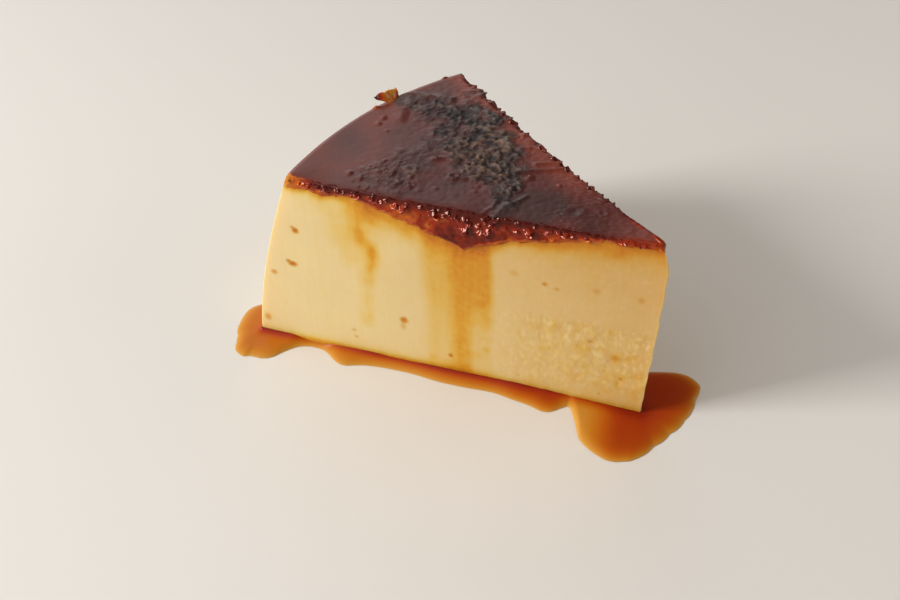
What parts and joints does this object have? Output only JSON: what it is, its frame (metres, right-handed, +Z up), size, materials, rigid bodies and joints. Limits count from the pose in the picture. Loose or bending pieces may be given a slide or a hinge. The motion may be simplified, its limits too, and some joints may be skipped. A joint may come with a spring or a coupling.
{
  "type": "custard pudding slice",
  "caption": "Wedge of baked custard pudding with a burnt caramel top layer that sags at the cut and a pool of thin caramel round its base.",
  "frame": {"origin": "on the floor, at the centroid of the slice's flat base", "axes": "+Z up; the first cut face lies along X and faces -Y; the slice's tip points to +X, and the curved outer wall is towards -X"},
  "size_m": [0.1194, 0.0826, 0.0546],
  "materials": {
    "custard": "moist set custard, soft satin",
    "burnt_caramel": "glossy dark red-brown caramel, charred in places",
    "caramel_sauce": "wet, clear amber sauce"
  },
  "bodies": {
    "root": {"custard": "custard", "caramel_top": "burnt_caramel", "caramel_pool": "caramel_sauce"}
  },
  "joints": []
}
